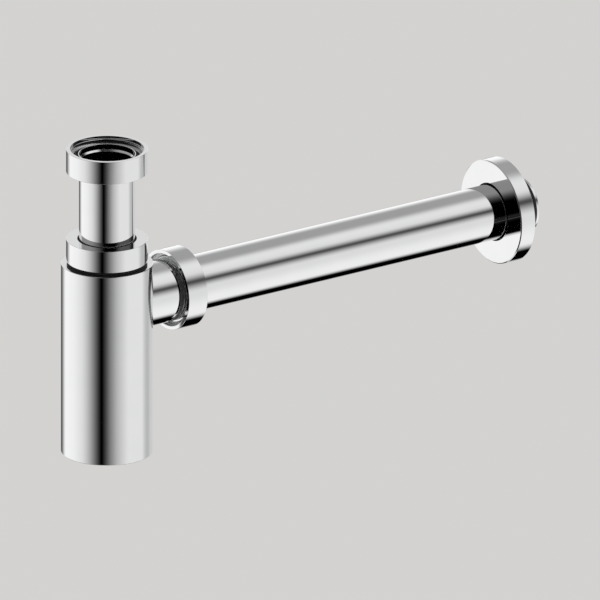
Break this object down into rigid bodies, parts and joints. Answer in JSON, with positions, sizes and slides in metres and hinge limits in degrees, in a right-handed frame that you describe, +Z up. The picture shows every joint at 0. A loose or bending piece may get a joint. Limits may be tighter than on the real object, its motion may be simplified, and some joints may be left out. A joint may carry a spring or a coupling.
{
  "type": "bottle trap",
  "caption": "Chromed washbasin bottle trap: union nut, dip tube, cylindrical bottle, compression nuts, wall pipe and round wall flange.",
  "frame": {"origin": "middle of the inlet nut's top face, on the bottle's axis", "axes": "+Z up along the bottle's axis, +X along the wall pipe towards the wall"},
  "size_m": [0.3159, 0.0604, 0.1828],
  "materials": {
    "chromed_brass": "polished",
    "rubber": "matte",
    "slip_plastic": "matte"
  },
  "bodies": {
    "inlet": {"inlet_tube": "chromed_brass", "inlet_gasket": "rubber"},
    "inlet_nut": {"inlet_nut": "chromed_brass"},
    "bottle_seal": {"bottle_seal": "rubber"},
    "bottle": {"bottle_body": "chromed_brass", "neck_washer": "rubber"},
    "bottle_slip_ring": {"bottle_slip_ring": "slip_plastic"},
    "bottle_nut": {"bottle_nut": "chromed_brass"},
    "cap_o_ring": {"cap_o_ring": "rubber"},
    "cleaning_cap": {"cleaning_cap": "chromed_brass"},
    "outlet_slip_ring": {"outlet_slip_ring": "slip_plastic"},
    "outlet_nut": {"outlet_nut": "chromed_brass"},
    "outlet_seal": {"outlet_seal": "rubber"},
    "outlet_pipe": {"outlet_pipe": "chromed_brass"},
    "flange_o_ring": {"flange_o_ring": "rubber"},
    "wall_flange": {"wall_flange": "chromed_brass"}
  },
  "joints": [
    {"name": "inlet_nut_turn", "type": "hinge", "parent": "inlet", "child": "inlet_nut", "pos_m": [0, 0, 0], "axis": [0, 0, 1], "continuous": true},
    {"name": "height_slide", "type": "slide", "parent": "inlet", "child": "bottle_seal", "axis": [0, 0, 1], "range_m": [-0.03, 0.01]},
    {"name": "trap_swivel", "type": "hinge", "parent": "bottle_seal", "child": "bottle", "pos_m": [0, 0, 0], "axis": [0, 0, 1], "continuous": true},
    {"name": "bottle_ring_lift", "type": "slide", "parent": "bottle", "child": "bottle_slip_ring", "axis": [0, 0, 1], "range_m": [0, 0.00694]},
    {"name": "bottle_nut_turn", "type": "hinge", "parent": "bottle_slip_ring", "child": "bottle_nut", "pos_m": [0, 0, 0], "axis": [0, 0, 1], "range_deg": [0, 1080]},
    {"name": "cap_ring_drop", "type": "slide", "parent": "bottle", "child": "cap_o_ring", "axis": [0, 0, -1], "range_m": [0, 0.00694]},
    {"name": "cap_turn", "type": "hinge", "parent": "cap_o_ring", "child": "cleaning_cap", "pos_m": [0, 0, 0], "axis": [0, 0, -1], "range_deg": [0, 1080]},
    {"name": "outlet_ring_slide", "type": "slide", "parent": "bottle", "child": "outlet_slip_ring", "axis": [1, 0, 0], "range_m": [0, 0.00694]},
    {"name": "outlet_nut_turn", "type": "hinge", "parent": "outlet_slip_ring", "child": "outlet_nut", "pos_m": [0, 0, -0.0941], "axis": [1, 0, 0], "range_deg": [0, 1080]},
    {"name": "pipe_turn", "type": "hinge", "parent": "bottle", "child": "outlet_seal", "pos_m": [0, 0, -0.0941], "axis": [1, 0, 0], "continuous": true},
    {"name": "pipe_slide", "type": "slide", "parent": "outlet_seal", "child": "outlet_pipe", "axis": [1, 0, 0], "range_m": [-0.006, 0.01]},
    {"name": "flange_slide", "type": "slide", "parent": "outlet_pipe", "child": "flange_o_ring", "axis": [1, 0, 0], "range_m": [-0.195, 0.012]},
    {"name": "flange_turn", "type": "hinge", "parent": "flange_o_ring", "child": "wall_flange", "pos_m": [0, 0, -0.0941], "axis": [1, 0, 0], "continuous": true}
  ],
  "couplings": [
    {"joint": "bottle_ring_lift", "follows": "bottle_nut_turn", "m_per_rad": 0.00036749},
    {"joint": "cap_ring_drop", "follows": "cap_turn", "m_per_rad": 0.00036749},
    {"joint": "outlet_ring_slide", "follows": "outlet_nut_turn", "m_per_rad": 0.00036749}
  ]
}
